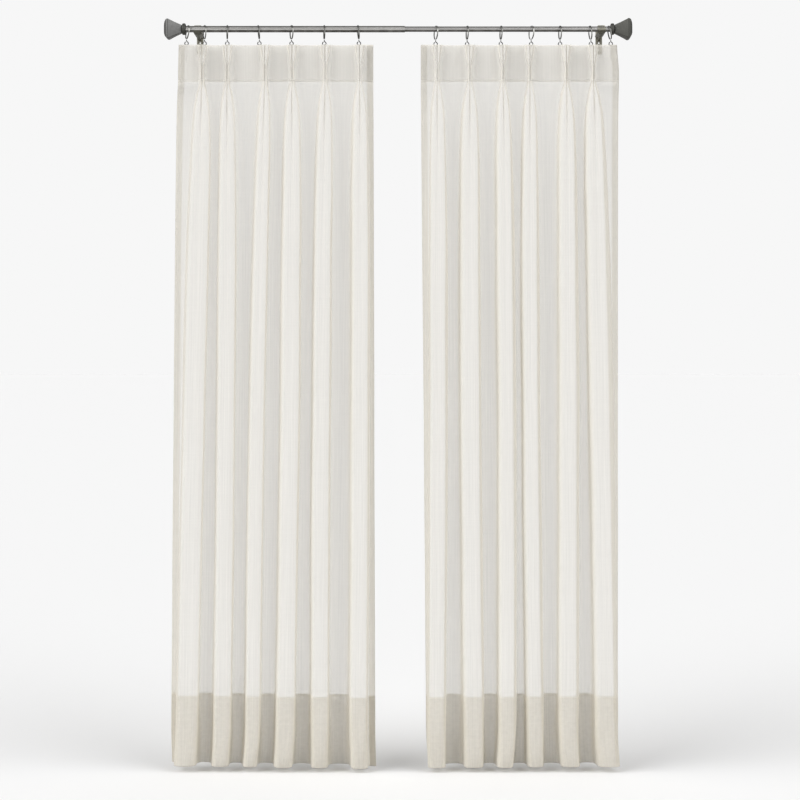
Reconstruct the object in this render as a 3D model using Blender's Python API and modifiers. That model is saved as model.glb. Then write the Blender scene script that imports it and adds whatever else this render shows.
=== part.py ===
"""A pair of pinch-pleated sheer voile panels hanging from a telescoping rod.

Metres, +Z up. The wall is the plane y = 0 and the room lies towards -Y. The origin
is on the wall, midway between the two brackets and level with the rod's axis.
Sizes in the tables are in millimetres.
"""
import math

import bmesh
import bpy
from mathutils import Matrix

MM = 0.001
SEAT_GAP = 0.3

# Rod: an outer tube on the left and an inner tube that slides in it
ROD_FROM_WALL = 88.0
OUTER_RADIUS = 9.5
INNER_RADIUS = 8.0
INNER_WALL = 1.2
ROD_LEFT_END = -633.0
ROD_STEP_X = 16.0
INNER_LEFT_END = -230.0
ROD_RIGHT_END = 625.0
ROD_SIDES = 20

# Bead collars and flared square finials, measured outwards along the rod
COLLAR_LENGTH = 11.5
COLLAR_RADIUS = 17.2
COLLAR_LIP_RADIUS = 13.0
COLLAR_SHOULDER = 1.6
COLLAR_ROUND_STARTS = (1.5, 4.0)
FINIAL_NECK = 23.0
FINIAL_WIDE = 56.0
FINIAL_FLARE = 39.0
FINIAL_RIM = 2.5
FINIAL_DOME = 11.5
FINIAL_EDGE = 1.0
DOME_STEPS = 3
FINIAL_ROLL = {"left": 1.5, "right": -2.0}

# Brackets: a wall plate and a cradle arm on each side
BRACKET_X = 599.0
PLATE_WIDTH = 20.0
PLATE_THICK = 2.5
PLATE_TOP = 10.0
PLATE_BOTTOM = -62.0
PLATE_CORNER = 3.0
SCREW_RADIUS = 2.4
SCREW_HEIGHTS = (-28.0, -50.0)
CRADLE_WALL = 2.4
CRADLE_HALF_WIDTH = 12.0
CRADLE_FRONT_ANGLE = {"left": 212.0, "right": 160.0}
BACK_LIP_TOP = 13.0
BACK_LIP_SHOULDER = 9.0
BACK_LIP_HALF_WIDTH = 9.0
ARM_HALF_WIDTH = 4.0
ARM_UNDER_CRADLE = 4.0
ARM_TOP_AT_CRADLE = -6.0
ARM_TOP_AT_WALL = -8.0
ARM_BOTTOM_AT_WALL = -22.0

# Rings, screw eyes and pin hooks
RING_MIDDLE_RADIUS = 20.4
RING_WIRE = 1.8
RING_SIDES = 14
EYE_LOOP_RADIUS = 5.2
EYE_WIRE = 1.4
EYE_SHANK = 4.5
EYE_LOOP_DEPTH = 11.3
EYE_OPEN_HALF_ANGLE = 26.0
EYE_STEPS = 10
HOOK_WIRE = 0.7
HOOK_BEND = 2.5
HOOK_LEG = 44.0
PIN_BEHIND = 3.0
PIN_HEIGHT = 27.0

# Each ring hangs at x on the rod's top, leans sideways and is turned about the vertical
RING_COLUMNS = ("x", "lean", "turn")
RINGS = (
    (-625.7, -8.0, 18.0),
    (-577.9, 0.0, 16.0),
    (-510.6, 0.0, 7.0),
    (-419.2, 5.4, 7.0),
    (-320.1, 0.0, 15.0),
    (-223.0, 0.0, 6.0),
    (-123.6, 4.6, 6.0),
    (108.9, -2.5, 14.0),
    (201.2, -1.0, 7.0),
    (301.5, -1.5, 6.0),
    (392.1, -2.5, 17.0),
    (476.1, 0.0, 7.0),
    (564.0, 5.0, 7.0),
    (619.2, 10.0, 6.0),
)

# Cloth: a doubled, stiffened heading band and the single voile below it
CURTAIN_TOP = -47.0
HEADING_DEPTH = 109.0
CURTAIN_LENGTH = 2134.0
CLOTH_THICK = 1.2

# Each fold starts at a pleat in the heading and falls to its own place at the hem
FOLD_COLUMNS = ("pleat_x", "hem_x", "hem_width", "depth", "wander")
PANELS = {
    "left": {
        "folds": (
            (-583.0, -631.0, 66.0, 1.00, -2.0),
            (-508.9, -526.0, 53.0, 0.90, 3.0),
            (-397.5, -436.0, 44.0, 0.94, -5.0),
            (-317.0, -340.0, 56.0, 1.05, 4.0),
            (-219.5, -237.0, 52.0, 0.96, -4.0),
            (-117.5, -123.0, 53.0, 1.08, 3.0),
        ),
        "left_edge": {"top_x": -656.0, "spread": -8.0, "hem": (-672.0, 32.0), "foot": (-662.0, 26.0)},
        "right_edge": {"top_x": -77.5, "spread": 0.0, "hem": (-72.0, 6.0), "foot": (-91.0, 9.0)},
        "hem_fall": (-4.0, 4.0),
    },
    "right": {
        "folds": (
            (111.0, 107.0, 53.0, 1.04, 4.0),
            (207.5, 219.0, 59.0, 0.98, -4.0),
            (305.5, 317.0, 51.0, 1.06, 5.0),
            (385.0, 401.0, 49.0, 0.90, -5.0),
            (493.0, 498.0, 57.0, 0.98, 4.0),
            (573.0, 612.0, 67.0, 1.04, 3.0),
        ),
        "left_edge": {"top_x": 63.0, "spread": 0.0, "hem": (79.0, 20.0), "foot": (86.0, 10.0)},
        "right_edge": {"top_x": 650.0, "spread": 0.0, "hem": (649.0, 28.0), "foot": (641.0, 18.0)},
        "hem_fall": (2.0, -2.0),
    },
}

# Shape of the folds at each drop below the curtain's top. half, tip and base are the
# pinched pleat's half width, finger spacing and foot. open goes from the pinched pleat
# to the hanging fold, drift from the pleat's place to the fold's place at the hem.
# crease, front and back are depths before and behind the heading's plane.
LEVEL_COLUMNS = ("drop", "half", "tip", "base", "open", "drift", "crease", "front", "back", "overlap")
HEADING_LEVELS = (
    (0.0, 17.0, 12.0, 9.0, 0.0, 0.0, 24.0, 24.0, 0.0, 0.0),
    (40.0, 11.0, 7.0, 7.0, 0.0, 0.0, 27.0, 27.0, 0.0, 0.0),
    (75.0, 5.6, 3.0, 5.0, 0.0, 0.0, 28.5, 28.5, 0.0, 0.0),
    (HEADING_DEPTH, 6.5, 3.6, 5.5, 0.0, 0.0, 29.0, 29.0, 0.0, 0.0),
)
PANEL_LEVELS = (
    (HEADING_DEPTH + SEAT_GAP, 6.5, 3.6, 5.5, 0.0, 0.0, 29.0, 29.0, 0.0, 0.0),
    (150.0, 6.5, 3.6, 5.5, 0.36, 0.02, 20.0, 29.0, 3.0, 1.0),
    (210.0, 6.5, 3.6, 5.5, 0.68, 0.06, 13.0, 30.0, 9.0, 2.5),
    (330.0, 6.5, 3.6, 5.5, 0.86, 0.12, 8.0, 31.0, 17.0, 4.0),
    (560.0, 6.5, 3.6, 5.5, 0.96, 0.26, 4.0, 32.0, 25.0, 5.5),
    (950.0, 6.5, 3.6, 5.5, 1.0, 0.46, 1.5, 32.0, 31.0, 6.0),
    (1450.0, 6.5, 3.6, 5.5, 1.0, 0.70, 0.0, 32.0, 32.0, 6.0),
    (1928.0, 6.5, 3.6, 5.5, 1.0, 0.92, 0.0, 33.0, 31.0, 5.0),
    (2050.0, 6.5, 3.6, 5.5, 1.0, 0.97, 0.0, 36.0, 34.0, 3.0),
    (CURTAIN_LENGTH, 6.5, 3.6, 5.5, 1.0, 1.0, 0.0, 41.0, 37.0, 1.0),
)
TIP_SHARE = 0.5
BACK_FLAT_SHARE = 0.4

ROD_Y = -ROD_FROM_WALL
PIN_Y = ROD_Y - HOOK_BEND - PIN_BEHIND
HEADING_Y = PIN_Y - HOOK_WIRE - SEAT_GAP - CLOTH_THICK / 2


def remove_old_objects():
    for old in list(bpy.data.objects):
        bpy.data.objects.remove(old, do_unlink=True)


def make_collection(name):
    collection = bpy.data.collections.new(name)
    bpy.context.scene.collection.children.link(collection)
    return collection


def make_material(name, colour, roughness, metallic, alpha=1.0):
    material = bpy.data.materials.new(name)
    material.use_nodes = True
    shader = material.node_tree.nodes["Principled BSDF"]
    shader.inputs["Base Color"].default_value = (*colour, 1.0)
    shader.inputs["Roughness"].default_value = roughness
    shader.inputs["Metallic"].default_value = metallic
    shader.inputs["Alpha"].default_value = alpha
    return material


def place_object(name, data, material, collection):
    placed = bpy.data.objects.new(name, data)
    data.materials.clear()
    data.materials.append(material)
    collection.objects.link(placed)
    return placed


def named_rows(columns, rows):
    return [dict(zip(columns, row)) for row in rows]


def blend(start, end, share):
    return start + (end - start) * share


def mesh_from_curve(curve_object):
    """Turn a curve into one closed mesh, with its caps welded on."""
    bpy.context.view_layer.update()
    graph = bpy.context.evaluated_depsgraph_get()
    mesh = bpy.data.meshes.new_from_object(curve_object.evaluated_get(graph))
    welded = bmesh.new()
    welded.from_mesh(mesh)
    bmesh.ops.remove_doubles(welded, verts=welded.verts, dist=0.00001)
    welded.to_mesh(mesh)
    welded.free()
    bpy.data.objects.remove(curve_object, do_unlink=True)
    return mesh


def flat_outline(points, half_thickness):
    """A closed outline in its own XY plane, thickened both ways along Z, as a mesh."""
    curve = bpy.data.curves.new("outline", "CURVE")
    curve.dimensions = "2D"
    curve.fill_mode = "BOTH"
    curve.extrude = half_thickness * MM
    spline = curve.splines.new("POLY")
    spline.points.add(len(points) - 1)
    for point, (across, up) in zip(spline.points, points):
        point.co = (across * MM, up * MM, 0.0, 1.0)
    spline.use_cyclic_u = True
    holder = bpy.data.objects.new("outline", curve)
    bpy.context.scene.collection.objects.link(holder)
    return mesh_from_curve(holder)


def turned_profile(name, points, steps, material, collection):
    """A profile of (radius, height) from its top down, turned about its own Z."""
    profile = bmesh.new()
    vertices = [profile.verts.new((radius * MM, 0.0, height * MM)) for radius, height in points]
    for upper, lower in zip(vertices, vertices[1:]):
        profile.edges.new((upper, lower))
    mesh = bpy.data.meshes.new(name)
    profile.to_mesh(mesh)
    profile.free()
    turned = place_object(name, mesh, material, collection)
    screw = turned.modifiers.new("turn", "SCREW")
    screw.axis = "Z"
    screw.steps = steps
    screw.render_steps = steps
    screw.use_merge_vertices = True
    screw.merge_threshold = 0.00001
    return turned


def wire(name, points, radius, sides_step, material, collection):
    """A round wire through the points, with filled caps."""
    curve = bpy.data.curves.new(name, "CURVE")
    curve.dimensions = "3D"
    curve.bevel_depth = radius * MM
    curve.bevel_resolution = sides_step
    curve.use_fill_caps = True
    spline = curve.splines.new("POLY")
    spline.points.add(len(points) - 1)
    for point, place in zip(spline.points, points):
        point.co = (place[0] * MM, place[1] * MM, place[2] * MM, 1.0)
    return place_object(name, curve, material, collection)


def rod_tube(name, start_x, end_x, radius, wall, material, collection):
    """An open pipe along X, thickened inwards."""
    pipe = bmesh.new()
    bmesh.ops.create_cone(
        pipe, cap_ends=False, segments=ROD_SIDES,
        radius1=radius * MM, radius2=radius * MM, depth=(end_x - start_x) * MM,
    )
    bmesh.ops.recalc_face_normals(pipe, faces=pipe.faces)
    mesh = bpy.data.meshes.new(name)
    pipe.to_mesh(mesh)
    pipe.free()
    tube = place_object(name, mesh, material, collection)
    middle = Matrix.Translation(((start_x + end_x) / 2 * MM, ROD_Y * MM, 0.0))
    tube.matrix_world = middle @ Matrix.Rotation(math.radians(90.0), 4, "Y")
    shell = tube.modifiers.new("wall", "SOLIDIFY")
    shell.thickness = wall * MM
    shell.offset = -1.0
    mesh.shade_smooth()
    return tube


def make_rod(metal, collection):
    outer_wall = OUTER_RADIUS - INNER_RADIUS - SEAT_GAP
    rod_tube("rod_outer", ROD_LEFT_END, ROD_STEP_X, OUTER_RADIUS, outer_wall, metal, collection)
    rod_tube("rod_inner", INNER_LEFT_END, ROD_RIGHT_END, INNER_RADIUS, INNER_WALL, metal, collection)


def outward_frame(side, start_x, roll):
    """Matrix that lays an upright turned piece along the rod, pointing off its end."""
    outward = -1.0 if side == "left" else 1.0
    place = Matrix.Translation((start_x * MM, ROD_Y * MM, 0.0))
    turn = Matrix.Rotation(math.radians(roll), 4, "X")
    lay = Matrix.Rotation(math.radians(90.0 * outward), 4, "Y")
    return place @ turn @ lay


def make_collar(side, start_x, metal, collection):
    lip_side, belly_side = COLLAR_ROUND_STARTS
    shoulder = COLLAR_RADIUS - COLLAR_SHOULDER
    points = (
        (0.0, COLLAR_LENGTH),
        (COLLAR_LIP_RADIUS, COLLAR_LENGTH),
        (shoulder, COLLAR_LENGTH - lip_side),
        (COLLAR_RADIUS, COLLAR_LENGTH - belly_side),
        (COLLAR_RADIUS, belly_side),
        (shoulder, lip_side),
        (COLLAR_LIP_RADIUS, 0.0),
        (0.0, 0.0),
    )
    collar = turned_profile(f"finial_collar_{side}", points, ROD_SIDES, metal, collection)
    collar.matrix_world = outward_frame(side, start_x, 0.0)
    collar.data.shade_smooth()


def make_finial(side, start_x, metal, collection):
    """A square flared body under a low dome: the profile runs down one corner."""
    corner = math.sqrt(2.0) / 2.0
    dome_base = FINIAL_FLARE + FINIAL_RIM
    points = []
    for step in range(DOME_STEPS):
        angle = math.radians(90.0 * step / DOME_STEPS)
        points.append((FINIAL_WIDE * corner * math.sin(angle), dome_base + FINIAL_DOME * math.cos(angle)))
    points += [
        (FINIAL_WIDE * corner, dome_base),
        (FINIAL_WIDE * corner, FINIAL_FLARE),
        (FINIAL_NECK * corner, 0.0),
        (0.0, 0.0),
    ]
    finial = turned_profile(f"finial_{side}", points, 4, metal, collection)
    square_up = Matrix.Rotation(math.radians(45.0), 4, "Z")
    finial.matrix_world = outward_frame(side, start_x, FINIAL_ROLL[side]) @ square_up
    rounding = finial.modifiers.new("worn edges", "BEVEL")
    rounding.width = FINIAL_EDGE * MM
    rounding.segments = 1
    rounding.limit_method = "ANGLE"
    rounding.angle_limit = math.radians(25.0)


def make_wall_plate(side, x, metal, collection, cutters):
    """A flat plate on the wall with two screw holes through it."""
    height = PLATE_TOP - PLATE_BOTTOM
    middle_z = (PLATE_TOP + PLATE_BOTTOM) / 2
    block = bmesh.new()
    bmesh.ops.create_cube(block, size=1.0)
    bmesh.ops.scale(block, vec=(PLATE_WIDTH * MM, PLATE_THICK * MM, height * MM), verts=block.verts)
    upright = [
        edge for edge in block.edges
        if abs(edge.verts[0].co.y - edge.verts[1].co.y) > PLATE_THICK * MM / 2
    ]
    bmesh.ops.bevel(
        block, geom=upright, offset=PLATE_CORNER * MM,
        segments=2, profile=0.5, affect="EDGES", material=-1,
    )
    mesh = bpy.data.meshes.new(f"wall_plate_{side}")
    block.to_mesh(mesh)
    block.free()
    plate = place_object(f"wall_plate_{side}", mesh, metal, collection)
    plate.location = (x * MM, -PLATE_THICK / 2 * MM, middle_z * MM)
    for number, height_of_screw in enumerate(SCREW_HEIGHTS, start=1):
        drill = bmesh.new()
        bmesh.ops.create_cone(
            drill, cap_ends=True, segments=12,
            radius1=SCREW_RADIUS * MM, radius2=SCREW_RADIUS * MM, depth=PLATE_THICK * 4 * MM,
        )
        drill_mesh = bpy.data.meshes.new("drill")
        drill.to_mesh(drill_mesh)
        drill.free()
        cutter = bpy.data.objects.new(f"screw_hole_{side}_{number}", drill_mesh)
        cutters.objects.link(cutter)
        cutter.rotation_euler = (math.radians(90.0), 0.0, 0.0)
        cutter.location = (x * MM, 0.0, height_of_screw * MM)
        cutter.hide_render = True
        cutter.display_type = "WIRE"
        hole = plate.modifiers.new(f"screw hole {number}", "BOOLEAN")
        hole.operation = "DIFFERENCE"
        hole.solver = "EXACT"
        hole.object = cutter


def make_bracket_arm(side, x, rod_radius, metal, collection, cutters):
    """A cradle under the rod on an arm from the wall: a side outline met by a front one."""
    seat = rod_radius + SEAT_GAP
    outside = seat + CRADLE_WALL
    wall_face = ROD_FROM_WALL - PLATE_THICK - SEAT_GAP
    seat_steps = 8
    front_angle = math.radians(CRADLE_FRONT_ANGLE[side])
    back_angle = math.radians(360.0)
    side_points = [(outside, BACK_LIP_TOP), (seat, BACK_LIP_TOP)]
    for step in range(seat_steps + 1):
        angle = blend(back_angle, front_angle, step / seat_steps)
        side_points.append((seat * math.cos(angle), seat * math.sin(angle)))
    for step in range(seat_steps // 2 + 1):
        angle = blend(front_angle, math.radians(270.0), step / (seat_steps // 2))
        side_points.append((outside * math.cos(angle), outside * math.sin(angle)))
    side_points += [
        (outside / 2, -outside - ARM_UNDER_CRADLE),
        (wall_face, ARM_BOTTOM_AT_WALL),
        (wall_face, ARM_TOP_AT_WALL),
        (outside, ARM_TOP_AT_CRADLE),
    ]
    arm_mesh = flat_outline(side_points, CRADLE_HALF_WIDTH)
    arm = place_object(f"bracket_arm_{side}", arm_mesh, metal, collection)
    stand_up = Matrix(((0, 0, 1, 0), (1, 0, 0, 0), (0, 1, 0, 0), (0, 0, 0, 1)))
    place = Matrix.Translation((x * MM, ROD_Y * MM, 0.0))
    arm.matrix_world = place @ stand_up

    spare = 1.0
    right_half = (
        (ARM_HALF_WIDTH, ARM_BOTTOM_AT_WALL - spare),
        (ARM_HALF_WIDTH, -outside - ARM_UNDER_CRADLE - spare),
        (CRADLE_HALF_WIDTH + spare, -rod_radius),
        (CRADLE_HALF_WIDTH + spare, BACK_LIP_SHOULDER),
        (BACK_LIP_HALF_WIDTH, BACK_LIP_TOP + spare),
    )
    front_points = [(-across, up) for across, up in reversed(right_half)] + list(right_half)
    front_mesh = flat_outline(front_points, ROD_FROM_WALL * 2)
    shaper = bpy.data.objects.new(f"arm_front_outline_{side}", front_mesh)
    cutters.objects.link(shaper)
    face_front = Matrix.Rotation(math.radians(90.0), 4, "X")
    shaper.matrix_world = place @ face_front
    shaper.hide_render = True
    shaper.display_type = "WIRE"
    trim = arm.modifiers.new("front outline", "BOOLEAN")
    trim.operation = "INTERSECT"
    trim.solver = "EXACT"
    trim.object = shaper


def make_ring_mesh():
    """One ring, standing upright with its top wire's centre at the origin."""
    bpy.ops.mesh.primitive_torus_add(
        major_segments=RING_SIDES, minor_segments=6,
        major_radius=RING_MIDDLE_RADIUS * MM, minor_radius=RING_WIRE * MM,
    )
    maker = bpy.context.active_object
    mesh = maker.data.copy()
    bpy.data.objects.remove(maker, do_unlink=True)
    upright = Matrix.Rotation(math.radians(90.0), 4, "Y")
    hang = Matrix.Translation((0.0, 0.0, -RING_MIDDLE_RADIUS * MM))
    mesh.transform(hang @ upright)
    mesh.shade_smooth()
    return mesh


def eye_points():
    """Down the shank, then round the loop, whose open ends face each other at the top."""
    points = [(0.0, 0.0, 0.0), (0.0, 0.0, -EYE_SHANK)]
    turn = 360.0 - 2 * EYE_OPEN_HALF_ANGLE
    for step in range(EYE_STEPS + 1):
        angle = math.radians(90.0 - EYE_OPEN_HALF_ANGLE - turn * step / EYE_STEPS)
        across = EYE_LOOP_RADIUS * math.cos(angle)
        down = EYE_LOOP_RADIUS * math.sin(angle) - EYE_LOOP_DEPTH
        points.append((across, 0.0, down))
    return points


def hook_points():
    """Over the eye from behind, down in front of it, and up again as a pin."""
    points = [(0.0, HOOK_BEND, -3.0)]
    for step in range(5):
        angle = math.radians(45.0 * step)
        points.append((0.0, HOOK_BEND * math.cos(angle), HOOK_BEND * math.sin(angle)))
    pin = -HOOK_BEND - PIN_BEHIND
    points += [
        (0.0, -HOOK_BEND, -HOOK_LEG),
        (0.0, (pin - HOOK_BEND) / 2, -HOOK_LEG - PIN_BEHIND / 2),
        (0.0, pin, -HOOK_LEG),
        (0.0, pin, -HOOK_LEG + PIN_HEIGHT),
    ]
    return points


def make_ring_chain(number, ring, ring_mesh, metal, collection):
    """A ring on the rod, its screw eye below it, and the pin hook in the eye."""
    rod_radius = OUTER_RADIUS if ring["x"] < ROD_STEP_X else INNER_RADIUS
    top = rod_radius + SEAT_GAP + RING_WIRE
    pivot = Matrix.Translation((ring["x"] * MM, ROD_Y * MM, top * MM))
    lean = Matrix.Rotation(math.radians(-ring["lean"]), 4, "Y")
    turn = Matrix.Rotation(math.radians(ring["turn"]), 4, "Z")
    hung = place_object(f"ring_{number:02d}", ring_mesh, metal, collection)
    hung.matrix_world = pivot @ lean @ turn

    reach = 2 * RING_MIDDLE_RADIUS
    eye_x = ring["x"] + reach * math.sin(math.radians(ring["lean"]))
    eye_top = top - reach * math.cos(math.radians(ring["lean"])) - RING_WIRE - SEAT_GAP
    eye = wire(f"eyelet_{number:02d}", eye_points(), EYE_WIRE, 0, metal, collection)
    eye.location = (eye_x * MM, ROD_Y * MM, eye_top * MM)

    seat = eye_top - EYE_LOOP_DEPTH - EYE_LOOP_RADIUS
    hook = wire(f"hook_{number:02d}", hook_points(), HOOK_WIRE, 0, metal, collection)
    hook.location = (eye_x * MM, ROD_Y * MM, seat * MM)


def fold_side(foot, lobe_x, tip, overlap, outward):
    """Points from a fold's foot, round its bulge, up to but not with its tip."""
    middle_y = (foot[1] + tip[1]) / 2
    points = []
    for angle in (0.0, math.pi / 4):
        under = overlap * math.sin(2 * angle)
        x = blend(foot[0], lobe_x, math.sin(angle)) - outward * under
        points.append((x, blend(foot[1], middle_y, 1 - math.cos(angle))))
    for angle in (0.0, math.pi / 4):
        over = overlap * math.sin(2 * angle)
        x = blend(tip[0], lobe_x, math.cos(angle)) + outward * over
        points.append((x, blend(middle_y, tip[1], math.sin(angle))))
    return points


def fold_places(panel, level):
    """Centre, half width, finger spacing and front depth of each fold at a level."""
    places = []
    for fold in named_rows(FOLD_COLUMNS, panel["folds"]):
        opened = level["open"]
        swing = fold["wander"] * math.sin(math.pi * level["drift"])
        places.append({
            "x": blend(fold["pleat_x"], fold["hem_x"], level["drift"]) + swing,
            "half": blend(level["half"], fold["hem_width"] / 2, opened),
            "tip": blend(level["tip"], TIP_SHARE * fold["hem_width"] / 2, opened),
            "front": blend(level["front"], level["front"] * fold["depth"], opened),
            "back": blend(level["back"], level["back"] * fold["depth"], opened),
        })
    return places


def fold_feet(panel, level, places):
    """The left and right foot of each fold, where it meets the spaces beside it."""
    opened = level["open"]
    feet = [[None, None] for _ in places]
    for index in range(len(places) - 1):
        left, right = places[index], places[index + 1]
        left_flank = left["x"] + left["half"]
        right_flank = right["x"] - right["half"]
        middle = (left_flank + right_flank) / 2
        flat = BACK_FLAT_SHARE * (right_flank - left_flank) / 2
        back = (left["back"] + right["back"]) / 2
        feet[index][1] = (blend(left["x"] + level["base"], middle - flat, opened), back)
        feet[index + 1][0] = (blend(right["x"] - level["base"], middle + flat, opened), back)
    ends = ((0, 0, "left_edge", -1), (len(places) - 1, 1, "right_edge", 1))
    for index, which, edge, outward in ends:
        foot_x, foot_y = panel[edge]["foot"]
        pinched_x = places[index]["x"] + outward * level["base"]
        hanging_x = places[index]["x"] + (foot_x - panel["folds"][index][1])
        feet[index][which] = (blend(pinched_x, hanging_x, opened), foot_y * opened)
    return feet


def edge_point(panel, edge, level):
    """Where the cloth's side hem is at a level."""
    hem_x, hem_y = panel[edge]["hem"]
    spread = panel[edge]["spread"] * level["open"]
    return (blend(panel[edge]["top_x"], hem_x, level["drift"]) + spread, hem_y * level["open"])


def cloth_section(panel, level, inner_points):
    """The cloth's line in plan at one level, from its left edge to its right edge."""
    places = fold_places(panel, level)
    feet = fold_feet(panel, level, places)
    line = [edge_point(panel, "left_edge", level)]
    for place, (left_foot, right_foot) in zip(places, feet):
        front = -place["front"]
        left_tip = (place["x"] - place["tip"], front)
        right_tip = (place["x"] + place["tip"], front)
        valley = (place["x"], front + level["crease"])
        halfway = (front + valley[1]) / 2
        quiet_side = level["overlap"] * 0.2
        line += fold_side(left_foot, place["x"] - place["half"], left_tip, quiet_side, -1)
        line.append(left_tip)
        if inner_points:
            line.append((place["x"] - place["tip"] * 0.55, halfway))
        line.append(valley)
        if inner_points:
            line.append((place["x"] + place["tip"] * 0.55, halfway))
        line.append(right_tip)
        right_side = fold_side(right_foot, place["x"] + place["half"], right_tip, level["overlap"], 1)
        line += reversed(right_side)
    line.append(edge_point(panel, "right_edge", level))
    return line


def make_cloth(name, side, level_rows, inner_points, material, collection):
    """A flat grid of cloth, moved onto its folds and given its thickness."""
    panel = PANELS[side]
    levels = named_rows(LEVEL_COLUMNS, level_rows)
    sections = [cloth_section(panel, level, inner_points) for level in levels]
    across = len(sections[0]) - 1
    down = len(levels) - 1
    sheet = bmesh.new()
    bmesh.ops.create_grid(sheet, x_segments=across, y_segments=down, size=0.5)
    for vertex in sheet.verts:
        column = round((vertex.co.x + 0.5) * across)
        row = round((0.5 - vertex.co.y) * down)
        x, y = sections[row][column]
        drop = levels[row]["drop"]
        fall = blend(*panel["hem_fall"], column / across) * drop / CURTAIN_LENGTH
        vertex.co = (x * MM, (HEADING_Y + y) * MM, (CURTAIN_TOP - drop - fall) * MM)
    bmesh.ops.recalc_face_normals(sheet, faces=sheet.faces)
    mesh = bpy.data.meshes.new(name)
    sheet.to_mesh(mesh)
    sheet.free()
    mesh.shade_smooth()
    cloth = place_object(name, mesh, material, collection)
    body = cloth.modifiers.new("thickness", "SOLIDIFY")
    body.thickness = CLOTH_THICK * MM
    body.offset = 0.0


def main():
    remove_old_objects()
    parts = make_collection("sheer voile curtain")
    cutters = make_collection("cutters")
    pewter = make_material("pewter rod metal", (0.20, 0.20, 0.195), 0.35, 0.9)
    dark_pewter = make_material("dark pewter finial", (0.17, 0.17, 0.16), 0.45, 0.85)
    olive_metal = make_material("bracket metal", (0.19, 0.18, 0.15), 0.5, 0.8)
    wire_metal = make_material("ring wire", (0.22, 0.22, 0.20), 0.3, 0.95)
    voile = make_material("ivory voile", (0.86, 0.84, 0.79), 0.85, 0.0, 0.6)
    stiffened = make_material("doubled heading voile", (0.82, 0.80, 0.74), 0.85, 0.0, 0.85)

    make_rod(pewter, parts)
    ends = {"left": (ROD_LEFT_END, -1.0), "right": (ROD_RIGHT_END, 1.0)}
    for side, (rod_end, outward) in ends.items():
        collar_start = rod_end + outward * SEAT_GAP
        finial_start = collar_start + outward * (COLLAR_LENGTH + SEAT_GAP)
        make_collar(side, collar_start, dark_pewter, parts)
        make_finial(side, finial_start, dark_pewter, parts)
    carried = {"left": (-BRACKET_X, OUTER_RADIUS), "right": (BRACKET_X, INNER_RADIUS)}
    for side, (x, rod_radius) in carried.items():
        make_wall_plate(side, x, olive_metal, parts, cutters)
        make_bracket_arm(side, x, rod_radius, olive_metal, parts, cutters)

    ring_mesh = make_ring_mesh()
    for number, ring in enumerate(named_rows(RING_COLUMNS, RINGS), start=1):
        make_ring_chain(number, ring, ring_mesh, wire_metal, parts)

    for side in PANELS:
        make_cloth(f"heading_{side}", side, HEADING_LEVELS, True, stiffened, parts)
        make_cloth(f"panel_{side}", side, PANEL_LEVELS, False, voile, parts)


main()
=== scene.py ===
# %% [markdown]
# # Sheer voile panels on a telescoping rod
#
# Two pinch-pleated panels of ivory voile hang from fourteen rings on a pewter rod. The packed
# model already holds every piece at its real size and place. This script dresses it: each piece
# is made again with a finer surface exactly where the plain one is, and gets a finish made of
# shader nodes.

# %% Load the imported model
import math

import bmesh
import bpy
from mathutils import Matrix, Vector, noise


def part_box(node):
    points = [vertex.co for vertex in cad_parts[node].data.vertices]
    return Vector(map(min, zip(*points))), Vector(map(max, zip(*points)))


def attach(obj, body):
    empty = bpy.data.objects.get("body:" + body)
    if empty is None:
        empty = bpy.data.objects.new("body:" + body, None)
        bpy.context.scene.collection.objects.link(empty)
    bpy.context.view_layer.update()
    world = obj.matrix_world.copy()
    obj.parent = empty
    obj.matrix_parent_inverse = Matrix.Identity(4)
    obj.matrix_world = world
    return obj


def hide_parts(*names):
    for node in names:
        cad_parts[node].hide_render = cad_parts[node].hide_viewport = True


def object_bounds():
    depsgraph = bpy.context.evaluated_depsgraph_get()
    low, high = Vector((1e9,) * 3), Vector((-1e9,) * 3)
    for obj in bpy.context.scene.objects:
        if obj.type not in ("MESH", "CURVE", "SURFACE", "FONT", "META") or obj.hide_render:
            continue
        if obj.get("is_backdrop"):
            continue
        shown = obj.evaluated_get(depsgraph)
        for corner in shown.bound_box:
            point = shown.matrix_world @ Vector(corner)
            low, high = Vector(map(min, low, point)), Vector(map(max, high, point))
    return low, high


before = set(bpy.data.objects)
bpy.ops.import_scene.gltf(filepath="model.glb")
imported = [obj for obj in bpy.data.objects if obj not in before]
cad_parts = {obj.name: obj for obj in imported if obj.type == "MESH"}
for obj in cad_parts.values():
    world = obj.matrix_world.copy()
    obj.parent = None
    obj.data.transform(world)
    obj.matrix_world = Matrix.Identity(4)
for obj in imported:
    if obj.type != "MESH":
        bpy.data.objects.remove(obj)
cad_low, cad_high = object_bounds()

MM = 0.001
print("the packed model has", len(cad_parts), "nodes")

# %% [markdown]
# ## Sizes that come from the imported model
#
# A finer piece must sit where the plain one sits, so its place is read from that piece's box
# instead of being typed in again. The rod's axis, for instance, is the middle of the outer
# tube's box, and its radius is half the box's height.

# %% Measure the rod
def node_box(node):
    """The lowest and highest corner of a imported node, in millimetres."""
    low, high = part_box(node)
    return low / MM, high / MM


outer_low, outer_high = node_box("rod_outer")
inner_low, inner_high = node_box("rod_inner")
ROD_Y = (outer_low.y + outer_high.y) / 2
OUTER_RADIUS = (outer_high.z - outer_low.z) / 2
INNER_RADIUS = (inner_high.z - inner_low.z) / 2
SEAT_GAP = 0.3
print(f"rod axis at y {ROD_Y:.1f} mm, radii {OUTER_RADIUS:.1f} and {INNER_RADIUS:.1f} mm")

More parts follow.
